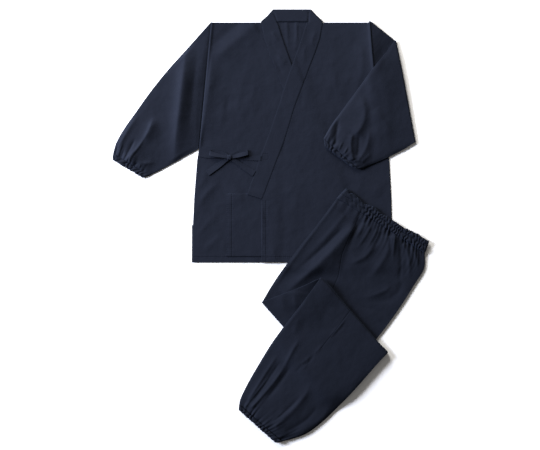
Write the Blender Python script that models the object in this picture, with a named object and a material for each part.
"""A samue work set laid flat: a wrap jacket with a band collar, and gathered trousers.

The jacket lies front up with its left front over its right one, its right sleeve out to the side and
its left sleeve folded back over the chest. The trousers lie on their side, one leg on the other, over
the jacket's lower corner, with a Z-fold across both legs. Metres, +Z up, +Y towards the collar, +X
towards the jacket's left sleeve; the origin is on the floor under the middle of the whole set.
Tables of the cut are in centimetres in that same frame, unless a line says otherwise.
"""

import math
from typing import NamedTuple

import bmesh
import bpy
import numpy as np
from mathutils import Vector
from mathutils.bvhtree import BVHTree

CM = 0.01
MM = 0.001

# Cloth: one layer of woven cotton, the folded strip of the collar, and the gathered casings.
CLOTH = 1.2 * MM
COLLAR_CLOTH = 2.4 * MM
CASING_CLOTH = 2.6 * MM
GAP = 0.3 * MM
HOLLOW = 0.4 * MM
TUBE_FLAT = 2 * CLOTH + HOLLOW
EDGE_BULGE = 0.9 * MM

# How closely a piece feels for what it lies on: rays each way across a cell, and how far past its sides.
CELL_RAYS = 7
CELL_MARGIN = 0.15

# Jacket: drops are measured down from the neck points, widths out from the centre back line.
CENTRE_X = 6.4 * CM
NECK_Y = 60.6 * CM
SHOULDER_DROP = -0.35 * CM
ARMHOLE_DROP = 37.4 * CM
COLLAR_END_DROP = 52.75 * CM
FREE_EDGE_DROP = 53.2 * CM
VENT_DROP = 60.3 * CM
VENT_STEP = 0.6 * CM
HEM_DROP = 71.7 * CM
ARMHOLE_ROWS = 10
BACK_NECK_RISE = 1.1 * CM
BACK_COLUMNS = (-1.0, -0.38, -0.19, 0.19, 0.38, 1.0)
COLLAR_COLUMNS = 4
POCKET_LEFT = 19.7 * CM
POCKET_RIGHT = 6.3 * CM
POCKET_TOP_DROP = 51.1 * CM
POCKET_BOTTOM_DROP = 69.8 * CM

# Gathers: waves of each elastic casing on its upper face, and how high they stand.
WAIST_WAVES = 26
ANKLE_WAVES = 11
WRIST_WAVES = 9
WAVE_POINTS = 4
WAIST_WAVE_HEIGHT = 1.6 * MM
ANKLE_WAVE_HEIGHT = 1.5 * MM
WRIST_WAVE_HEIGHT = 1.3 * MM
CASING_PINCH = 0.9 * MM

# Trousers: heights of the stacks of layers at their edges and in their middles.
THIGH_EDGE = 4.2 * MM
THIGH_CROWN = 1.2 * MM
TUCK_EDGE = 5.1 * MM
TUCK_CROWN = 0.6 * MM
SHIN_EDGE = 4.2 * MM
SHIN_CROWN = 2.2 * MM
FOLD_WALL = 3.5 * MM
LIP_DEPTH = 1.0 * MM
SHOULDER_INSET = 0.9 * MM

THIGH_ROWS = 13
SLEEVE_ROWS = 14
SLEEVE_COLUMNS = 11
SLEEVE_FULLNESS = 4.5 * MM

INDIGO = (0.021, 0.025, 0.042, 1.0)
INDIGO_BAND = (0.019, 0.023, 0.040, 1.0)
CLOTH_ROUGHNESS = 0.86


class Width(NamedTuple):
    drop: float
    right_side: float
    left_side: float
    front_edge: float


# Half widths of the jacket at each drop, to the wearer's right and left, and how far the front's own
# neckline or free edge lies on its own side of the centre (below zero once it has crossed over).
JACKET = [
    Width(-0.35, 24.3, 23.5, 9.3),
    Width(4.6, 24.74, 23.85, 8.4),
    Width(8.8, 25.15, 24.2, 7.0),
    Width(12.8, 25.53, 24.6, 5.4),
    Width(16.4, 25.88, 25.0, 4.1),
    Width(21.3, 26.35, 25.65, 2.15),
    Width(25.7, 26.77, 26.3, 0.6),
    Width(35.0, 27.67, 27.95, -2.2),
    Width(37.4, 27.9, 28.4, -3.1),
    Width(41.0, 28.5, 29.25, -4.5),
    Width(52.75, 29.4, 29.85, -8.9),
    Width(53.2, 29.4, 29.85, -9.2),
    Width(60.3, 29.75, 30.0, -9.2),
    Width(71.7, 29.8, 30.0, -9.2),
]


class FreeEdge(NamedTuple):
    drop: float
    inner: float
    inner_drop: float


# The collar strip down each front: for each drop along its sewn outer edge, where its free edge is.
COLLAR_FRONT = [
    FreeEdge(-0.35, 4.2, 0.2),
    FreeEdge(4.6, 3.15, 3.6),
    FreeEdge(8.8, 2.0, 7.0),
    FreeEdge(12.8, 0.7, 10.6),
    FreeEdge(16.4, -0.7, 14.4),
    FreeEdge(21.3, -2.4, 19.4),
    FreeEdge(25.7, -3.9, 24.3),
    FreeEdge(35.0, -7.1, 33.6),
    FreeEdge(41.0, -9.3, 39.4),
    FreeEdge(52.75, -13.5, 51.3),
]


class Band(NamedTuple):
    outer: float
    outer_drop: float
    inner: float
    inner_drop: float


# The rest of the collar from each shoulder to the centre back, mitred at the corners of the neck.
COLLAR_NECK = [
    Band(9.3, -0.7, 4.5, -0.3),
    Band(7.5, -2.3, 4.62, -0.5),
    Band(5.7, -4.3, 4.6, -0.55),
    Band(4.7, -4.3, 3.9, -0.55),
    Band(0.0, -4.3, 0.0, -0.55),
]


class Section(NamedTuple):
    near_x: float
    near_y: float
    far_x: float
    far_y: float


# Each section of a tube crosses it from its near edge to its far edge.
# Right sleeve, lying out: upper edge (near) and lower edge (far), shoulder to wrist.
RIGHT_SLEEVE = [
    Section(-17.9, 60.9, -21.5, 23.2),
    Section(-21.9, 56.5, -23.0, 22.3),
    Section(-25.8, 52.1, -25.7, 20.9),
    Section(-30.0, 47.5, -28.2, 19.4),
    Section(-33.9, 42.8, -30.4, 18.2),
    Section(-37.4, 38.2, -32.4, 17.1),
    Section(-40.7, 33.5, -33.9, 16.3),
    Section(-43.8, 29.1, -35.0, 15.8),
    Section(-46.2, 24.9, -35.7, 15.4),
    Section(-47.2, 21.6, -36.4, 15.0),
]
RIGHT_WRIST = Section(-47.5, 19.7, -38.4, 14.3)

# Left sleeve: the line that it is folded on, then the part that is folded back, to the wrist.
LEFT_FOLD = Section(37.8, 55.5, 43.7, 25.1)
LEFT_SLEEVE = [
    LEFT_FOLD,
    Section(34.2, 51.2, 39.9, 22.9),
    Section(30.6, 46.9, 36.4, 21.1),
    Section(27.1, 42.1, 33.4, 19.7),
    Section(23.6, 37.3, 31.0, 18.7),
    Section(20.9, 33.6, 29.2, 18.0),
    Section(18.2, 29.9, 27.7, 17.3),
    Section(16.0, 26.0, 26.2, 16.9),
]
LEFT_WRIST = Section(16.3, 23.4, 24.4, 17.5)

# Trousers, upper part: front edge (near) and back edge (far), waist seam to the first fold.
THIGH = [
    Section(19.9, 8.1, 46.2, -8.2),
    Section(17.2, 4.4, 45.9, -13.0),
    Section(13.6, -0.4, 43.0, -17.8),
    Section(9.5, -5.5, 39.7, -23.1),
    Section(6.4, -9.6, 36.6, -27.6),
    Section(3.2, -13.9, 33.0, -32.4),
    Section(0.2, -18.4, 26.6, -40.2),
    Section(-2.8, -23.2, 19.7, -48.9),
]
THIGH_SEAM = [0.26, 0.28, 0.33, 0.42, 0.46, 0.50, 0.50, 0.50]

# The tuck between the two folds, first fold to second.
TUCK = [
    Section(-2.8, -23.1, 19.9, -49.2),
    Section(2.9, -20.9, 24.0, -46.1),
    Section(9.5, -18.3, 29.5, -42.2),
    Section(14.9, -15.5, 34.6, -38.1),
]

# Trousers, lower part: second fold to the ankle.
SHIN = [
    Section(15.4, -15.5, 35.2, -38.0),
    Section(9.7, -23.0, 31.2, -42.2),
    Section(3.9, -30.5, 25.7, -48.5),
    Section(0.3, -35.5, 20.8, -53.7),
    Section(-3.8, -42.2, 15.8, -58.6),
    Section(-7.0, -47.8, 10.9, -62.3),
    Section(-9.0, -52.0, 6.2, -64.1),
    Section(-9.4, -53.9, 3.4, -64.8),
]
SHIN_SEAM = [0.44, 0.45, 0.45, 0.44, 0.46, 0.48, 0.50, 0.50]
ANKLE = Section(-9.6, -55.3, 1.4, -65.1)

# Waistband: its upper edge over the trousers' waist seam.
WAIST = Section(22.6, 11.1, 47.6, -4.6)
WAIST_BOW = 0.9 * CM


class Fold(NamedTuple):
    start: tuple
    middle: tuple
    end: tuple
    height: float
    half_width: float


# Largest folds of each piece: a crest along a bent line, its height in millimetres and its half width.
RIGHT_FRONT_FOLDS = [
    Fold((-4.5, 60.0), (-16.5, 53.5), (-18.2, 33.0), 5.5, 2.4),
]
RIGHT_SLEEVE_FOLDS = [
    Fold((-24.8, 55.5), (-27.0, 38.0), (-29.2, 17.5), 12.0, 2.2),
    Fold((-35.0, 33.0), (-37.6, 26.5), (-43.0, 19.5), 6.0, 1.5),
    Fold((-40.5, 34.0), (-42.6, 28.0), (-45.0, 21.0), 4.0, 1.4),
]
LEFT_SLEEVE_FOLDS = [
    Fold((23.0, 36.0), (30.5, 31.0), (22.6, 22.5), 5.0, 1.6),
    Fold((18.8, 31.0), (18.6, 26.5), (19.6, 23.0), 4.0, 1.1),
    Fold((29.5, 30.0), (29.5, 24.0), (26.0, 19.5), 3.5, 1.3),
]
THIGH_FOLDS = [
    Fold((26.4, 2.6), (18.4, -8.0), (5.0, -21.0), 7.0, 1.5),
    Fold((21.8, 6.0), (17.5, 0.5), (11.0, -5.5), 3.5, 1.2),
    Fold((31.6, 0.0), (26.8, -6.5), (23.0, -14.0), 4.0, 1.0),
    Fold((35.4, -3.0), (30.5, -9.0), (25.6, -17.0), 4.5, 1.2),
    Fold((38.8, -4.6), (36.8, -9.5), (35.4, -14.5), 3.5, 0.9),
    Fold((42.4, -6.6), (41.4, -11.5), (40.6, -16.5), 3.2, 0.9),
    Fold((38.6, -10.0), (40.5, -22.0), (25.0, -24.4), 4.5, 1.2),
]
SHIN_FOLDS = [
    Fold((10.6, -31.5), (3.4, -44.0), (-4.0, -56.0), 5.0, 1.4),
    Fold((5.6, -36.5), (0.0, -44.0), (-6.6, -53.6), 4.0, 1.1),
    Fold((13.0, -46.5), (8.4, -54.5), (0.6, -60.4), 4.5, 1.3),
    Fold((24.5, -30.0), (24.0, -40.0), (16.5, -48.0), 3.0, 1.8),
]

# Bow: where the knot sits, and each band's run from the knot, with its width at knot and end.
KNOT = (-12.4, 20.4)
KNOT_SIZE = (0.85, 0.75)
KNOT_HEIGHT = 5.6 * MM
KNOT_CLEAR = 1.0


class Strap(NamedTuple):
    end: tuple
    knot_width: float
    end_width: float


TIES = {
    "tie_side": Strap((-21.2, 21.35), 0.95, 1.6),
    "tie_front": Strap((-3.75, 20.15), 0.95, 1.4),
}
TAILS = {
    "bow_tail_right": Strap((-19.1, 15.6), 0.95, 1.7),
    "bow_tail_left": Strap((-4.9, 15.5), 0.95, 1.7),
}
LOOPS = {
    "bow_loop_right": Strap((-17.9, 22.1), 1.0, 1.9),
    "bow_loop_left": Strap((-6.7, 21.7), 0.9, 1.2),
}
LOOP_RADIUS = 2.0 * MM


def clear_scene():
    """Start from an empty scene."""
    for obj in list(bpy.data.objects):
        bpy.data.objects.remove(obj, do_unlink=True)


def cotton(name, colour):
    """Matt woven cotton in one dye."""
    material = bpy.data.materials.new(name)
    material.use_nodes = True
    shader = material.node_tree.nodes["Principled BSDF"]
    shader.inputs["Base Color"].default_value = colour
    shader.inputs["Roughness"].default_value = CLOTH_ROUGHNESS
    shader.inputs["Metallic"].default_value = 0.0
    material.diffuse_color = colour
    return material


def grid_faces(rows, columns, start, around):
    """Quads of a grid of points stored row by row from a start index, as an array of corner indices."""
    index = start + np.arange(rows * columns).reshape(rows, columns)
    if around:
        index = np.concatenate([index, index[:, :1]], axis=1)
    corners = [index[:-1, :-1], index[:-1, 1:], index[1:, 1:], index[1:, :-1]]
    return np.stack([c.ravel() for c in corners], axis=1)


def border(index):
    """The indices along the four sides of a grid, once round."""
    return np.concatenate([index[0, :-1], index[:-1, -1], index[-1, :0:-1], index[:0:-1, 0]])


def band_faces(first, second):
    """Quads between two closed loops of indices of the same length."""
    after = [np.roll(first, -1), np.roll(second, -1)]
    return np.stack([first, after[0], after[1], second], axis=1)


def make_object(name, material, points, faces):
    """An object whose closed mesh is in triangles that face outwards, as rays and cuts will find it."""
    mesh = bpy.data.meshes.new(name)
    mesh.from_pydata(points.tolist(), [], faces.tolist())
    body = bmesh.new()
    body.from_mesh(mesh)
    bmesh.ops.triangulate(body, faces=body.faces)
    bmesh.ops.recalc_face_normals(body, faces=body.faces)
    body.to_mesh(mesh)
    body.free()
    mesh.shade_smooth()
    mesh.set_sharp_from_angle(angle=math.radians(40))
    mesh.materials.append(material)
    obj = bpy.data.objects.new(name, mesh)
    bpy.context.collection.objects.link(obj)
    return obj


def wall(name, material, outer, inner, around=False, sides=()):
    """A closed body between an outer and an inner grid of points, both rows by columns by 3.

    Around joins the last column to the first, which gives a tube with two open ends. Sides are loops
    of points that the edge of a flat piece passes through on its way from outer to inner.
    """
    rows, columns = outer.shape[:2]
    count = rows * columns
    points = [outer.reshape(-1, 3), inner.reshape(-1, 3)]
    faces = [grid_faces(rows, columns, 0, around), grid_faces(rows, columns, count, around)]
    index = np.arange(count).reshape(rows, columns)
    if around:
        for row in (0, -1):
            faces.append(band_faces(index[row], index[row] + count))
    else:
        loops = [border(index)]
        for number, side in enumerate(sides):
            loops.append(2 * count + number * len(loops[0]) + np.arange(len(loops[0])))
            points.append(side)
        loops.append(loops[0] + count)
        for first, second in zip(loops[:-1], loops[1:]):
            faces.append(band_faces(first, second))
    return make_object(name, material, np.concatenate(points), np.concatenate(faces))


def slab(name, material, plan, bottom, thickness=CLOTH):
    """A panel of cloth over a plan of points (rows by columns by 2), lying at the given heights."""
    lower = np.dstack([plan, bottom])
    upper = np.dstack([plan, bottom + thickness])
    return wall(name, material, upper, lower)


def surface_tree(obj):
    """The points of an object and a tree of its faces for rays."""
    mesh = obj.data
    points = np.empty(len(mesh.vertices) * 3, np.float32)
    mesh.vertices.foreach_get("co", points)
    points = points.reshape(-1, 3).astype(float)
    tree = BVHTree.FromPolygons(points.tolist(), [tuple(p.vertices) for p in mesh.polygons])
    return points, tree


def resting(plan, on):
    """Height at which every cell of a plan clears the pieces that it lies on. Zero is the floor.

    Each cell takes the highest point beneath it, found by rays down through it and a little past its
    sides and by the corners of the pieces there; each point takes the highest of its cells.
    """
    corners = [plan[:-1, :-1], plan[:-1, 1:], plan[1:, :-1], plan[1:, 1:]]
    first, second, third, fourth = (corner.reshape(-1, 2) for corner in corners)
    middle = (first + second + third + fourth) / 4
    across = (second + fourth - first - third) / 2
    along = (third + fourth - first - second) / 2
    share = np.linspace(-0.5 - CELL_MARGIN, 0.5 + CELL_MARGIN, CELL_RAYS)
    u, v = (share_grid.ravel()[None, :, None] for share_grid in np.meshgrid(share, share))
    spots = middle[:, None] + u * across[:, None] + v * along[:, None]
    area = across[:, 0] * along[:, 1] - across[:, 1] * along[:, 0]
    highest = np.zeros(len(middle))
    for obj in on:
        points, tree = surface_tree(obj)
        away = points[None, :, :2] - middle[:, None]
        u = (away[..., 0] * along[:, None, 1] - away[..., 1] * along[:, None, 0]) / area[:, None]
        v = (away[..., 1] * across[:, None, 0] - away[..., 0] * across[:, None, 1]) / area[:, None]
        inside = np.maximum(np.abs(u), np.abs(v)) <= share[-1]
        highest = np.maximum(highest, np.where(inside, points[None, :, 2], 0.0).max(axis=1))
        for cell, cell_spots in enumerate(spots):
            for x, y in cell_spots:
                hit = tree.ray_cast(Vector((x, y, 1.0)), Vector((0.0, 0.0, -1.0)))
                if hit[0] is not None:
                    highest[cell] = max(highest[cell], hit[0].z)
    cells = np.pad(np.where(highest > 0, highest + GAP, 0.0).reshape(corners[0].shape[:2]), 1)
    return np.maximum.reduce([cells[:-1, :-1], cells[:-1, 1:], cells[1:, :-1], cells[1:, 1:]])


def fold_relief(plan, folds):
    """Sum of the folds' heights over a plan: each is a bell across its crest and fades at both ends."""
    flat = plan.reshape(-1, 2)
    total = np.zeros(len(flat))
    along = np.linspace(0.0, 1.0, 17)
    fade = np.sin(np.pi * np.clip(along * 0.9 + 0.05, 0, 1)) ** 0.7
    for fold in folds:
        start, middle, end = (np.array(p) * CM for p in (fold.start, fold.middle, fold.end))
        crest = (
            np.outer((1 - along) ** 2, start)
            + np.outer(2 * along * (1 - along), middle)
            + np.outer(along**2, end)
        )
        away = np.linalg.norm(flat[:, None, :] - crest[None], axis=2)
        nearest = away.argmin(axis=1)
        bell = np.exp(-((away.min(axis=1) / (fold.half_width * CM)) ** 2))
        total += fold.height * MM * bell * fade[nearest]
    return total.reshape(plan.shape[:2])


def column(table, name):
    """One named column of a table as an array."""
    return np.array([getattr(row, name) for row in table])


def side_offset(drops, name):
    """A half width of the jacket at each drop, in metres."""
    return np.interp(drops, column(JACKET, "drop") * CM, column(JACKET, name) * CM)


def jacket_drops():
    """The drops of the jacket's rows: even down the armhole, then by the marks below it."""
    armhole = np.linspace(SHOULDER_DROP, ARMHOLE_DROP, ARMHOLE_ROWS)
    lower = np.array([42.0, 47.5]) * CM
    marks = [COLLAR_END_DROP, FREE_EDGE_DROP, 57.0 * CM, VENT_DROP, VENT_DROP + VENT_STEP, 66.0 * CM]
    return np.concatenate([armhole, lower, marks, [HEM_DROP]])


def spread(first, last, count):
    """Points in even steps between two edges, given as arrays of the same shape, in columns."""
    share = np.linspace(0.0, 1.0, count)[None, :, None]
    return first[:, None, :] * (1 - share) + last[:, None, :] * share


def jacket_points(offset, drops):
    """Plan points from offsets to the wearer's left and drops."""
    return np.stack([CENTRE_X + offset, NECK_Y - drops], axis=-1)


def make_back(material):
    """The back: the whole outline up to the shoulders, wider than the fronts below the vents.

    Its neck rises a little above the shoulder line, under the collar.
    """
    drops = jacket_drops()
    widen = np.where(drops > VENT_DROP + VENT_STEP / 2, 0.3 * CM, 0.0)
    right = side_offset(drops, "right_side") + widen
    left = side_offset(drops, "left_side") + widen
    share = np.array(BACK_COLUMNS)[None, :]
    offset = np.where(share < 0, right[:, None], left[:, None]) * share
    rise = np.zeros_like(offset)
    rise[0, 2:4] = BACK_NECK_RISE
    plan = jacket_points(offset, drops[:, None] - rise)
    return slab("back", material, plan, np.zeros(plan.shape[:2]))


def front_plan(side, columns):
    """Plan of one front, from its side seam to its neckline and free edge; side is 1 for the left one."""
    drops = jacket_drops()
    name = "left_side" if side > 0 else "right_side"
    outer = jacket_points(side * side_offset(drops, name), drops)
    inner = jacket_points(side * (side_offset(drops, "front_edge") + GAP), drops)
    return spread(outer, inner, columns)


def make_front_right(material, back):
    plan = front_plan(-1, 9)
    bottom = resting(plan, [back]) + fold_relief(plan, RIGHT_FRONT_FOLDS)
    return slab("front_right", material, plan, bottom)


def make_front_left(material, under):
    plan = front_plan(1, 10)
    return slab("front_left", material, plan, resting(plan, under))


def make_pocket(material, front):
    """A patch pocket on the right front, its bottom in the hem."""
    drops = np.linspace(POCKET_TOP_DROP, POCKET_BOTTOM_DROP, 6)
    left = jacket_points(-POCKET_LEFT + 0 * drops, drops)
    right = jacket_points(-POCKET_RIGHT + 0 * drops, drops)
    plan = spread(left, right, 5)
    return slab("pocket", material, plan, resting(plan, [front]))


def collar_half(side):
    """Plan of half of the collar from its lower end to the centre back; side is 1 for the left half.

    Down the front its rows are those of the front's neckline, which it is sewn to.
    """
    drops = jacket_drops()
    drops = drops[drops <= COLLAR_END_DROP + GAP][::-1]
    free_edge = [
        np.interp(drops, column(COLLAR_FRONT, "drop") * CM, column(COLLAR_FRONT, name) * CM)
        for name in ("inner", "inner_drop")
    ]
    front = [side_offset(drops, "front_edge"), drops, *free_edge]
    neck = [column(COLLAR_NECK, name) * CM for name in Band._fields]
    outer, outer_drop, inner, inner_drop = (np.concatenate(pair) for pair in zip(front, neck))
    return spread(
        jacket_points(side * outer, outer_drop), jacket_points(side * inner, inner_drop), COLLAR_COLUMNS
    )


def make_fronts_and_collar(cloth, band, back):
    """Both fronts, the pocket between them, and the collar in one folded strip round the neck.

    The collar's right half lies beside the right front on the back. The left front and the collar's
    left half lie over all of these.
    """
    front_right = make_front_right(cloth, back)
    pocket = make_pocket(cloth, front_right)
    right, left = collar_half(-1), collar_half(1)[::-1]
    low = resting(right, [back])
    right_half = slab("right_half", band, right, low, COLLAR_CLOTH)
    under = [back, front_right, pocket, right_half]
    front_left = make_front_left(cloth, under)
    high = resting(left, under)
    bpy.data.objects.remove(right_half, do_unlink=True)
    height = np.concatenate([low[:-1], high])
    height[len(low) - 1] = (low[-2] + high[1]) / 2
    collar = slab("collar", band, np.concatenate([right[:-1], left]), height, COLLAR_CLOTH)
    return front_right, front_left, collar


def sections(table, rows, first=0.0, last=1.0):
    """Near and far edges of a tube at even steps between its first and last section."""
    numbers = np.array(table) * CM
    at = np.linspace(first, last, rows) * (len(table) - 1)
    edges = np.stack([np.interp(at, np.arange(len(table)), numbers[:, k]) for k in range(4)], axis=1)
    return edges[:, :2], edges[:, 2:]


def crown(columns):
    """A rounded profile across a stack of layers: 0 at both edges and 1 in the middle."""
    share = np.linspace(0.0, 1.0, columns)
    return np.sqrt(np.clip(4 * share * (1 - share), 0, 1))


def flat_tube(name, material, below, above, up, thickness=CLOTH):
    """A tube of cloth pressed flat, from its two outer faces (rows by columns by 3).

    Each ring goes along the face below, round one edge, back along the face above and round the other.
    Up is the direction from below to above at each row. The inner wall is the same ring, moved in.
    """
    up = np.broadcast_to(up, (len(below), 3))[:, None, :]
    near_out = below[:, :1] - below[:, 1:2]
    far_out = below[:, -1:] - below[:, -2:-1]
    near_out /= np.linalg.norm(near_out, axis=2, keepdims=True)
    far_out /= np.linalg.norm(far_out, axis=2, keepdims=True)
    near = (below[:, :1] + above[:, :1]) / 2 + near_out * EDGE_BULGE
    far = (below[:, -1:] + above[:, -1:]) / 2 + far_out * EDGE_BULGE
    outer = np.concatenate([below, far, above[:, ::-1], near], axis=1)
    inset = 0.6 * thickness
    below_in = below + up * thickness
    above_in = above - up * thickness
    for face in (below_in, above_in):
        face[:, :1] -= near_out * inset
        face[:, -1:] -= far_out * inset
    near_in = near - near_out * thickness
    far_in = far - far_out * thickness
    inner = np.concatenate([below_in, far_in, above_in[:, ::-1], near_in], axis=1)
    return wall(name, material, outer, inner, around=True)


UP = np.array([0.0, 0.0, 1.0])


def sleeve_seam(side, columns):
    """Points of a sleeve's armhole, beside the body's edge."""
    drops = np.linspace(SHOULDER_DROP, ARMHOLE_DROP, columns)
    name = "left_side" if side > 0 else "right_side"
    return jacket_points(side * (side_offset(drops, name) + GAP), drops)


def make_sleeve_right(material):
    """The right sleeve: a tube that lies on the floor, flat at the armhole and fuller at the wrist."""
    near, far = sections(RIGHT_SLEEVE, SLEEVE_ROWS)
    plan = spread(near, far, SLEEVE_COLUMNS)
    plan[0] = sleeve_seam(-1, SLEEVE_COLUMNS)
    share = np.linspace(0.0, 1.0, SLEEVE_ROWS)[:, None]
    top = TUBE_FLAT + SLEEVE_FULLNESS * share**1.5 * crown(SLEEVE_COLUMNS)[None]
    top = top + fold_relief(plan, RIGHT_SLEEVE_FOLDS) * np.minimum(1, share * 6)
    below = np.dstack([plan, 0 * top])[:, ::2]
    return flat_tube("sleeve_right", material, below, np.dstack([plan, top]), UP)


def make_sleeve_left(material, under):
    """The left sleeve: out over the floor to its fold, round it, and back over the body to the wrist.

    Before the fold the face below is the one on the floor; round the bend it turns over and becomes
    the upper one, so up turns over with it.
    """
    seam = sleeve_seam(1, SLEEVE_COLUMNS)
    fold_line = np.array(LEFT_FOLD) * CM
    share = np.linspace(0.0, 1.0, SLEEVE_COLUMNS)[:, None]
    fold = fold_line[:2] * (1 - share) + fold_line[2:] * share
    outward = np.array([fold_line[1] - fold_line[3], fold_line[2] - fold_line[0]])
    outward /= np.linalg.norm(outward)
    bend_height = TUBE_FLAT + GAP / 2
    bend_inset = bend_height * 0.95
    out_plan = spread(seam, fold - outward * bend_inset, 3).transpose(1, 0, 2)
    out_below = np.dstack([out_plan, np.zeros(out_plan.shape[:2])])
    out_above = np.dstack([out_plan, np.full(out_plan.shape[:2], TUBE_FLAT)])
    under_part = slab("under_part", material, out_plan, out_below[..., 2], TUBE_FLAT)

    near, far = sections(LEFT_SLEEVE, SLEEVE_ROWS - 1)
    back_plan = spread(near, far, SLEEVE_COLUMNS)[1:]
    share = np.linspace(0.0, 1.0, SLEEVE_COLUMNS)
    sparse = resting(back_plan[:, ::2], [*under, under_part])
    back_base = np.array([np.interp(share, share[::2], row) for row in sparse])
    bpy.data.objects.remove(under_part, do_unlink=True)
    grow = np.linspace(0.0, 1.0, len(back_plan))[:, None]
    back_top = back_base + TUBE_FLAT + SLEEVE_FULLNESS * grow**1.5 * crown(SLEEVE_COLUMNS)[None]
    back_top = back_top + fold_relief(back_plan, LEFT_SLEEVE_FOLDS)

    centre = fold - outward * bend_inset
    below_rows, above_rows, ups = [], [], []
    for angle in np.radians([30, 90, 150]):
        turn = np.append(outward * math.sin(angle), -math.cos(angle))
        middle = np.column_stack([centre, np.full(SLEEVE_COLUMNS, bend_height)])
        below_rows.append(middle + turn * bend_height)
        above_rows.append(middle + turn * (bend_height - TUBE_FLAT))
        ups.append(-turn)
    below = np.concatenate([out_below, below_rows, np.dstack([back_plan, back_top])])
    above = np.concatenate([out_above, above_rows, np.dstack([back_plan, back_base])])
    up = np.concatenate([np.tile(UP, (len(out_plan), 1)), ups, np.tile(-UP, (len(back_plan), 1))])
    return flat_tube("sleeve_left", material, below, above[:, ::2], up)


def make_casing(name, material, inner_edge, outer_edge, waves, wave_height, base, height, bow=0.0):
    """A gathered casing with elastic in it: a short flat tube whose upper face is drawn into waves.

    It runs from the seam (inner edge) to the open end (outer edge), pinched along its middle, with the
    waves tallest at both edges. The face below lies flat.
    """
    depth = np.array([0.0, 0.45, 1.0])
    seam, end = (np.array(edge) * CM for edge in (inner_edge, outer_edge))
    edges = seam + (end - seam) * depth[:, None]
    upper_count = max(waves * WAVE_POINTS, 10) + 1
    share = np.linspace(0.0, 1.0, upper_count)
    outward = (end[:2] + end[2:] - seam[:2] - seam[2:]) / 2
    reach = np.linalg.norm(outward)
    outward /= reach
    wander = 0.35 * np.sin(2 * np.pi * share * 3.1) + 0.25 * np.sin(2 * np.pi * share * 7.3 + 1)
    wave = np.cos(2 * np.pi * (waves * share + wander))
    pinch = 1 - 0.55 * np.sin(np.pi * depth)
    plan_above = spread(edges[:, :2], edges[:, 2:], upper_count)
    frill = 0.6 * MM * depth[:, None] * wave[None]
    plan_above = plan_above + (frill + bowed(depth, share, bow))[..., None] * outward
    top = base + height - CASING_PINCH * np.sin(np.pi * depth)[:, None]
    ripple = wave * np.sin(np.pi * np.clip(share, 0.02, 0.98)) ** 0.3
    top = top + wave_height * pinch[:, None] * ripple[None]
    lower_share = np.linspace(0.0, 1.0, 8)
    plan_below = spread(edges[:, :2], edges[:, 2:], 8)
    plan_below = plan_below + bowed(depth, lower_share, bow)[..., None] * outward
    below = np.dstack([plan_below, np.full(plan_below.shape[:2], base)])
    above = np.dstack([plan_above, top])
    return flat_tube(name, material, below, above, UP, CASING_CLOTH)


def bowed(depth, share, bow):
    """How far a casing's open edge hangs back of the straight line between its two corners."""
    return -bow * depth[:, None] * np.sin(np.pi * share**0.7)[None]


def moved_along(section, other, distance):
    """A section moved towards another by a distance in centimetres, both edges alike."""
    here, there = np.array(section), np.array(other)
    way = (there[:2] + there[2:] - here[:2] - here[2:]) / 2
    way = way / np.linalg.norm(way) * distance
    return Section(*(here + np.concatenate([way, way])))


def stack_solid(name, material, plan, bottom, top, layers, folded_ends=()):
    """Layers of cloth in one rounded solid, with a lip at its edge for each of them.

    Folded ends are the plan's sides (first or last row) where the cloth turns round: the edge there is
    a smooth half round with no lips.
    """
    rows, columns = plan.shape[:2]
    index = border(np.arange(rows * columns).reshape(rows, columns))
    rim = plan.reshape(-1, 2)[index]
    middle = plan.reshape(-1, 2).mean(axis=0)
    along = np.roll(rim, -1, axis=0) - np.roll(rim, 1, axis=0)
    outward = np.stack([along[:, 1], -along[:, 0]], axis=1)
    outward /= np.linalg.norm(outward, axis=1, keepdims=True)
    outward *= np.sign(np.einsum("ij,ij->i", outward, rim - middle).sum())
    low, high = bottom.ravel()[index], top.ravel()[index]
    folded = np.zeros(len(index), bool)
    for end in folded_ends:
        row = 0 if end == "first" else rows - 1
        folded |= index // columns == row
    levels = 2 * layers - 1
    sides = []
    for level in range(levels):
        share = (level + 0.5) / levels
        lip = LIP_DEPTH if level % 2 else 0.0
        round_end = (1 - math.sqrt(1 - (2 * share - 1) ** 2)) * SHOULDER_INSET * 2
        inset = np.where(folded, round_end, lip)
        height = high + (low - high) * share
        sides.append(np.column_stack([rim - outward * inset[:, None], height]))
    inside = plan.reshape(-1, 2).copy()
    inside[index] -= outward * SHOULDER_INSET
    inside = inside.reshape(plan.shape)
    return wall(name, material, np.dstack([inside, top]), np.dstack([inside, bottom]), sides=sides)


def split_plan(near, far, seam_share, columns, side):
    """Plan of the part of a tube's upper face before (side -1) or after (side 1) its lengthwise seam."""
    seam = near + (far - near) * seam_share[:, None]
    way = (far - near) / np.linalg.norm(far - near, axis=1, keepdims=True)
    seam = seam + side * way * GAP / 2
    return spread(near, seam, columns) if side < 0 else spread(seam, far, columns)


def make_thigh(material, under):
    """The upper part of the trousers: hidden layers in one solid, and the two panels that show."""
    end = 1.0 - 0.019
    near, far = sections(THIGH, 10, 0.0, end)
    plan = spread(near, far, 7)
    bottom = resting(plan, under)
    core_top = bottom + THIGH_EDGE + THIGH_CROWN * crown(7)[None]
    core = stack_solid("thigh_under_layers", material, plan, bottom, core_top, 3)
    near, far = sections(THIGH, THIGH_ROWS, 0.0, end)
    seam_share = np.interp(
        np.linspace(0, end, THIGH_ROWS), np.linspace(0, 1, len(THIGH_SEAM)), THIGH_SEAM
    )
    made = [core]
    for name, side, columns in (("thigh_front", -1, 8), ("thigh_back", 1, 13)):
        piece = split_plan(near, far, seam_share, columns, side)
        height = resting(piece, [core])
        relief = fold_relief(piece, THIGH_FOLDS) * buried_share(piece)
        made.append(slab(name, material, piece, height + relief))
    return made


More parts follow.
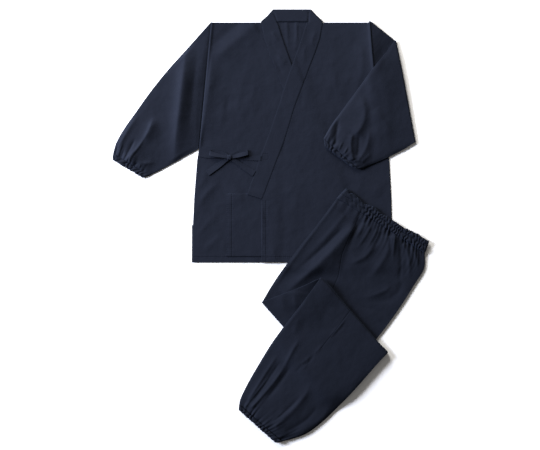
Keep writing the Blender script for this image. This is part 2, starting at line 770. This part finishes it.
def buried_share(plan):
    """1 where the thigh is in the open, falling to 0 a little way before the fold that covers it."""
    second_fold = np.array(SHIN[0]) * CM
    start, end = second_fold[:2], second_fold[2:]
    across = (end - start) / np.linalg.norm(end - start)
    outward = np.array([-across[1], across[0]])
    distance = (plan - start) @ outward
    tuck_edge = plan[..., 1] - (np.array(TUCK[0]) * CM)[1]
    open_share = np.clip(distance / (2.5 * CM), 0, 1)
    return np.maximum(open_share, np.clip(tuck_edge / (8 * CM) - 0.9, 0, 1) * open_share)


def make_tuck(material, thigh, under):
    """The part between the two folds, turned over: four layers in one solid.

    Its first row is the outside of the first fold. There the cloth comes up from under the thigh, so
    the solid reaches down in front of the thigh's end.
    """
    fold_steps = np.array([0.0, FOLD_WALL, FOLD_WALL + GAP])
    near, far = sections(TUCK, 6)
    plan = spread(near, far, 7)
    way = plan[1] - plan[0]
    way /= np.linalg.norm(way, axis=1, keepdims=True)
    nose = [plan[0] + way * step for step in fold_steps]
    end_gap = 8.0 * MM
    last_step = plan[-1] - plan[-2]
    last_step /= np.linalg.norm(last_step, axis=1, keepdims=True)
    last = plan[-1] - last_step * end_gap
    plan = np.concatenate([nose, plan[1:-1], last[None]])
    bottom = resting(plan, thigh)
    ground = resting(plan, under)
    bottom[:2] = ground[:2]
    nose_top = bottom[2] + TUCK_EDGE + TUCK_CROWN * crown(7)
    top = bottom + TUCK_EDGE + TUCK_CROWN * crown(7)[None]
    top[0] = ground[0] + (nose_top - ground[0]) * 0.86
    top[1] = nose_top - 0.2 * MM
    return stack_solid("tuck_layers", material, plan, bottom, top, 4, folded_ends=("first",))


def make_shin(material, under):
    """The lower part: hidden layers in one solid, and two panels that wrap round the second fold."""
    near, far = sections(SHIN, 10)
    plan = spread(near, far, 7)
    inset = 8.0 * MM
    way = plan[1] - plan[0]
    way /= np.linalg.norm(way, axis=1, keepdims=True)
    plan[0] = plan[0] + way * inset
    bottom = resting(plan, under)
    core_top = bottom + SHIN_EDGE + SHIN_CROWN * crown(7)[None]
    core = stack_solid("shin_under_layers", material, plan, bottom, core_top, 3)
    made = [core]
    seam_share = np.interp(np.linspace(0, 1, 14), np.linspace(0, 1, len(SHIN_SEAM)), SHIN_SEAM)
    near, far = sections(SHIN, 14)
    ground = resting(spread(near[:2], far[:2], 9), under[1:]).max()
    for name, side in (("shin_front", -1), ("shin_back", 1)):
        piece = split_plan(near, far, seam_share, 8, side)
        height = resting(piece[1:], [core])
        height = height + fold_relief(piece[1:], SHIN_FOLDS)
        upper = np.dstack([piece[1:], height + CLOTH])
        lower = np.dstack([piece[1:], height])
        made.append(wrapped_panel(name, material, piece, upper, lower, ground))
    return made


def wrapped_panel(name, material, piece, upper, lower, ground):
    """A panel whose first rows turn down round a fold: a half round from its top to the cloth below."""
    way = piece[1] - piece[0]
    way /= np.linalg.norm(way, axis=1, keepdims=True)
    top = upper[0, :, 2]
    radius = (top - ground - GAP) / 2
    middle = piece[0] + way * radius[:, None]
    outer_rows, inner_rows = [], []
    for angle in np.radians([-75, -38, 0, 38, 75]):
        for rows, size in ((outer_rows, radius), (inner_rows, radius - CLOTH)):
            flat = middle - way * (size * math.cos(angle))[:, None]
            rows.append(np.column_stack([flat, ground + GAP + radius + size * math.sin(angle)]))
    outer = np.concatenate([outer_rows, upper])
    inner = np.concatenate([inner_rows, lower])
    return wall(name, material, outer, inner)


def strap_plan(strap, rows, columns):
    """Plan of a flat band from the knot to its end, wider at its end."""
    knot, end = np.array(KNOT) * CM, np.array(strap.end) * CM
    way = (end - knot) / np.linalg.norm(end - knot)
    across = np.array([-way[1], way[0]])
    start = knot + way * KNOT_CLEAR * CM
    share = np.linspace(0.0, 1.0, rows)[:, None]
    middle = start + (end - start) * share
    half = (strap.knot_width + (strap.end_width - strap.knot_width) * share**0.6) * CM / 2
    return spread(middle - across * half, middle + across * half, columns)


def make_strap(name, strap, material, under):
    plan = strap_plan(strap, 8, 3)
    return slab(name, material, plan, resting(plan, under))


def make_loop(name, strap, material, under):
    """A loop of the bow: out along the cloth, round its end and back above itself to the knot."""
    plan = strap_plan(strap, 7, 3)
    base = resting(plan, under).max() + LOOP_RADIUS
    way = (plan[-1] - plan[0]).mean(axis=0)
    way /= np.linalg.norm(way)
    tip = plan[-1] - way * LOOP_RADIUS
    outer, inner = [], []
    for rows, size in ((outer, LOOP_RADIUS), (inner, LOOP_RADIUS - CLOTH)):
        for piece in plan[:-1]:
            rows.append(np.column_stack([piece, np.full(3, base - size)]))
        for angle in np.radians([-90, -30, 30, 90]):
            bend = tip + way * size * math.cos(angle)
            rows.append(np.column_stack([bend, np.full(3, base + size * math.sin(angle))]))
        for piece in plan[-2::-1]:
            rows.append(np.column_stack([piece, np.full(3, base + size)]))
    return wall(name, material, np.array(outer), np.array(inner))


def make_knot(material, base):
    """The knot: a squared round lump with a flat underside and a groove where the band crosses it."""
    body = bmesh.new()
    bmesh.ops.create_uvsphere(body, u_segments=16, v_segments=8, radius=1.0)
    size = np.array(KNOT_SIZE) * CM
    middle = np.array(KNOT) * CM
    for vertex in body.verts:
        x, y, z = (math.copysign(abs(v) ** 0.75, v) for v in vertex.co)
        groove = 1 - 0.12 * math.exp(-((x / 0.25) ** 2)) * max(z, 0)
        height = (max(z * groove, -0.72) + 0.72) / 1.72 * KNOT_HEIGHT
        vertex.co = (middle[0] + x * size[0], middle[1] + y * size[1], base + height)
    mesh = bpy.data.meshes.new("bow_knot")
    body.to_mesh(mesh)
    body.free()
    mesh.shade_smooth()
    mesh.materials.append(material)
    obj = bpy.data.objects.new("bow_knot", mesh)
    bpy.context.collection.objects.link(obj)
    return obj


def make_bow(material, front, collar):
    """The two ties, knotted in a bow: bands on the cloth, tails over them and loops on top."""
    ties = [make_strap(name, strap, material, [front]) for name, strap in TIES.items()]
    tails = [make_strap(name, strap, material, [front, collar, *ties]) for name, strap in TAILS.items()]
    for name, strap in LOOPS.items():
        make_loop(name, strap, material, [front, *ties, *tails])
    make_knot(material, 2 * CLOTH + 2 * GAP)


def make_jacket(cloth, band):
    """The jacket's pieces in the order that they lie; returns those that the trousers lie on."""
    back = make_back(cloth)
    front_right, front_left, collar = make_fronts_and_collar(cloth, band, back)
    make_sleeve_right(cloth)
    make_sleeve_left(cloth, [back, front_left])
    for name, sleeve, wrist, under in (
        ("cuff_right", RIGHT_SLEEVE, RIGHT_WRIST, []),
        ("cuff_left", LEFT_SLEEVE, LEFT_WRIST, [front_left]),
    ):
        seam = moved_along(sleeve[-1], wrist, 0.04)
        base = casing_base(seam, wrist, under)
        make_casing(name, band, seam, wrist, WRIST_WAVES, WRIST_WAVE_HEIGHT, base, 7.2 * MM)
    make_bow(band, front_right, collar)
    return [back, front_left]


def make_trousers(cloth, band, jacket):
    """The trousers' pieces from the floor up."""
    core, front, back = make_thigh(cloth, jacket)
    tuck = make_tuck(cloth, [core, front, back], jacket)
    make_shin(cloth, [tuck, front, back, *jacket])
    seam = moved_along(THIGH[0], WAIST, 0.05)
    base = casing_base(seam, WAIST, jacket)
    make_casing("waistband", band, seam, WAIST, WAIST_WAVES, WAIST_WAVE_HEIGHT, base, 8.0 * MM, WAIST_BOW)
    seam = moved_along(SHIN[-1], ANKLE, 0.05)
    for name, base, waves in (("ankle_cuff_right", 0.0, 0), ("ankle_cuff_left", 7.4 * MM, ANKLE_WAVES)):
        make_casing(name, band, seam, ANKLE, waves, ANKLE_WAVE_HEIGHT * bool(waves), base, 6.4 * MM)


def casing_base(seam, end, under):
    """The height that a casing's flat lower face lies at."""
    numbers = np.array([seam, end]) * CM
    return resting(spread(numbers[:, :2], numbers[:, 2:], 8), under).max()


def main():
    clear_scene()
    cloth = cotton("indigo_cotton", INDIGO)
    band = cotton("indigo_band", INDIGO_BAND)
    jacket = make_jacket(cloth, band)
    make_trousers(cloth, band, jacket)


main()
